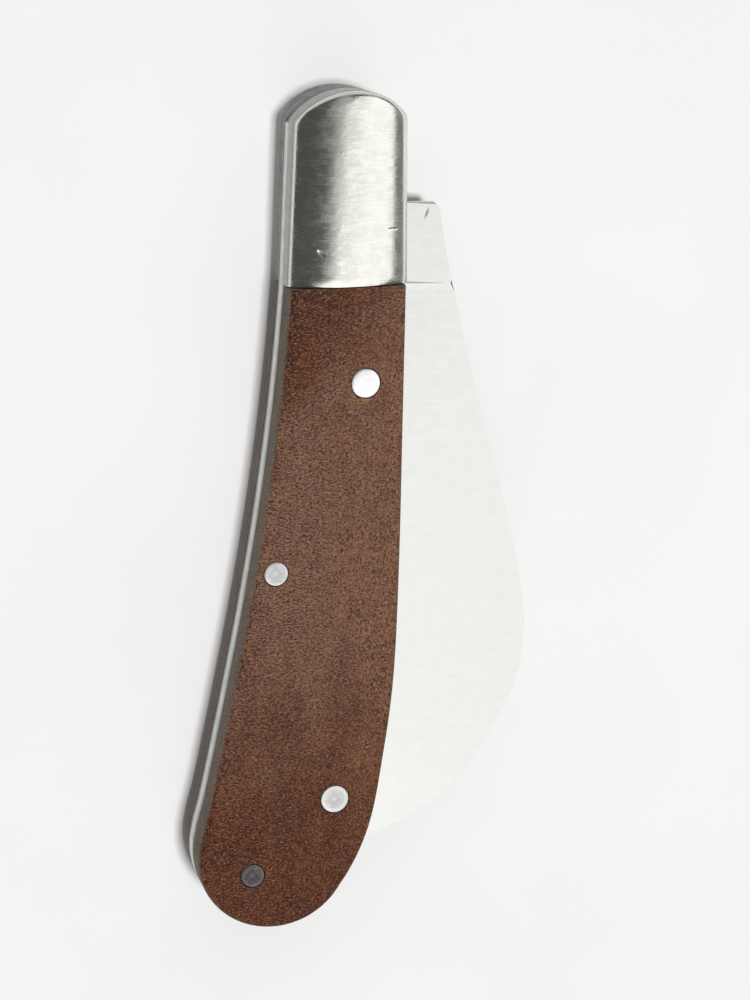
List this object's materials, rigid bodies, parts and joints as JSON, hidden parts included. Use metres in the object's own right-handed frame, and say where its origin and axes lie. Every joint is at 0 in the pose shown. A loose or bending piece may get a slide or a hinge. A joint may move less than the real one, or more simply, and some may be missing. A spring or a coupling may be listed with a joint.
{
  "type": "folding knife",
  "caption": "Slip-joint folding knife, closed, with a broad hump-backed blade, curved wooden handle scales, domed steel bolsters, steel liners and a backspring.",
  "frame": {"origin": "centre of the bounding box in plan, on the flat outer face of the rear scale, which the closed knife lies on", "axes": "+Z out of the front scale, +Y along the handle towards the bolsters, +X towards the side that the folded blade stands out of"},
  "size_m": [0.0458, 0.11, 0.012],
  "materials": {
    "wood": "oiled reddish-brown hardwood with short cross flecks and dark pores",
    "bolster_steel": "satin, polished over the dome, with small nicks",
    "liner_steel": "satin, ground flush at the edges",
    "spring_steel": "satin",
    "blade_steel": "pale satin with fine brushing across the blade",
    "pin_aluminium": "dull, filed flush"
  },
  "bodies": {
    "handle": {"front_scale": "wood", "rear_scale": "wood", "front_liner": "liner_steel", "rear_liner": "liner_steel", "front_bolster": "bolster_steel", "rear_bolster": "bolster_steel", "pivot_pin": "spring_steel", "spring_middle_pin": "pin_aluminium", "spring_tail_pin": "pin_aluminium", "front_upper_rivet": "pin_aluminium", "front_lower_rivet": "pin_aluminium", "rear_upper_rivet": "pin_aluminium", "rear_lower_rivet": "pin_aluminium", "front_bolster_rivet": "bolster_steel", "rear_bolster_rivet": "bolster_steel"},
    "blade": {"blade": "blade_steel"},
    "backspring": {"backspring": "spring_steel"}
  },
  "joints": [
    {"name": "blade_pivot", "type": "hinge", "parent": "handle", "child": "blade", "pos_m": [-0.00145, 0.0458, 0.006], "axis": [0, 0, 1], "range_deg": [0, 180]},
    {"name": "backspring_flex", "type": "hinge", "parent": "handle", "child": "backspring", "pos_m": [-0.01585, -0.0472, 0.006], "axis": [0, 0, 1], "range_deg": [0, 0.7], "stiffness_Nm_per_rad": 300}
  ]
}
